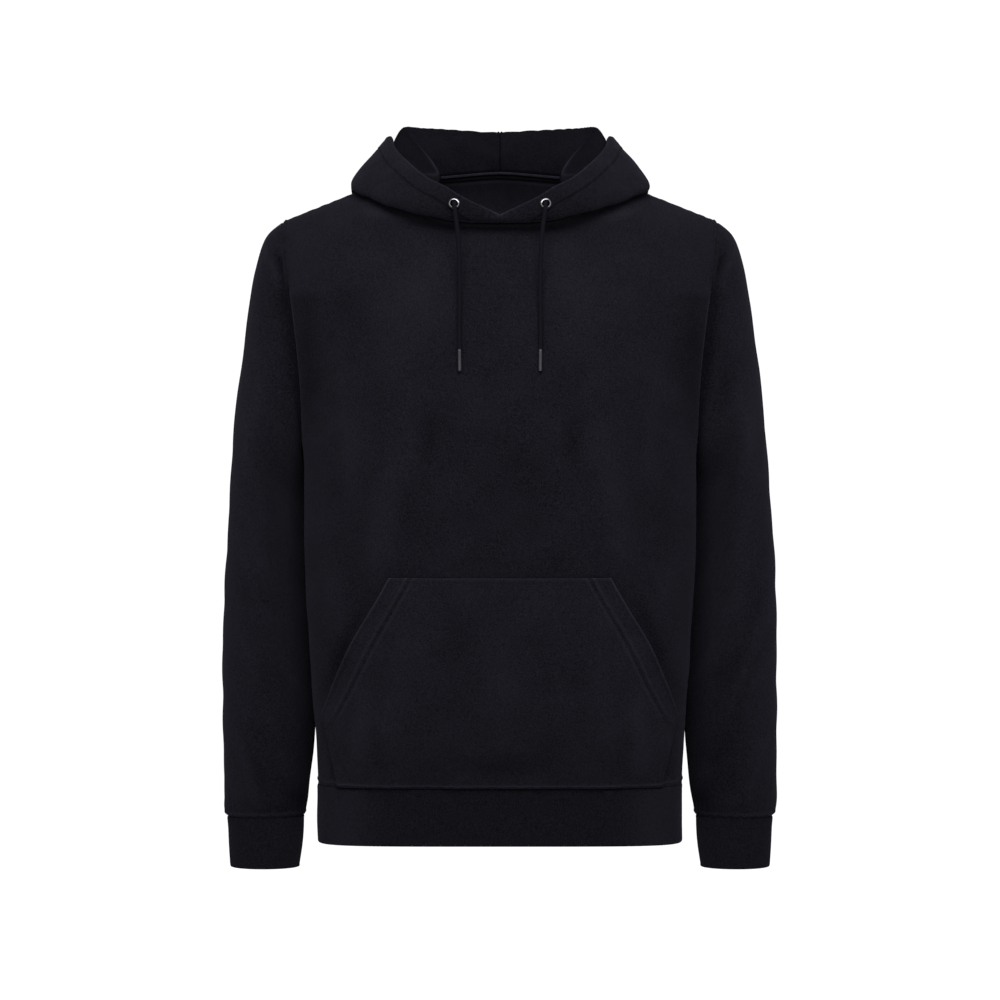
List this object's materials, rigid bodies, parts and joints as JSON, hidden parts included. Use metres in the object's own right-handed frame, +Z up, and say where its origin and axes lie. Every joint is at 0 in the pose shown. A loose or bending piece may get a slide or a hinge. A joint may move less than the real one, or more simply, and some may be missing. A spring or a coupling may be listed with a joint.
{
  "type": "pullover hoodie",
  "caption": "Pullover hoodie in plain dark fleece, filled out as worn and empty inside, with the hood thrown back, a drawcord, a hand pocket across the front and ribbed cuffs and hem.",
  "frame": {"origin": "between the wearer's shoulders, level with the side neck, where the garment is held up by the wearer", "axes": "+Z up, from the hem to the neck; the front faces -Y; +X is the wearer's left"},
  "size_m": [0.5756, 0.2632, 0.7774],
  "materials": {
    "fleece": "near-black cotton fleece with a soft, slightly brushed face",
    "rib": "near-black fine rib knit",
    "neck_tape": "near-black woven tape",
    "cord": "near-black round braid",
    "eyelet_metal": "polished dark nickel",
    "cord_tip": "satin gunmetal sleeve"
  },
  "bodies": {
    "root": {"front_panel": "fleece", "back_panel": "fleece", "sleeve_left": "fleece", "sleeve_right": "fleece", "pocket": "fleece", "hood_left": "fleece", "hood_right": "fleece", "cuff_left": "rib", "cuff_right": "rib", "hem_band": "rib", "neck_tape": "neck_tape", "eyelet_left": "eyelet_metal", "eyelet_right": "eyelet_metal", "drawcord_left": "cord", "drawcord_right": "cord", "cord_tip_left": "cord_tip", "cord_tip_right": "cord_tip"}
  },
  "joints": []
}
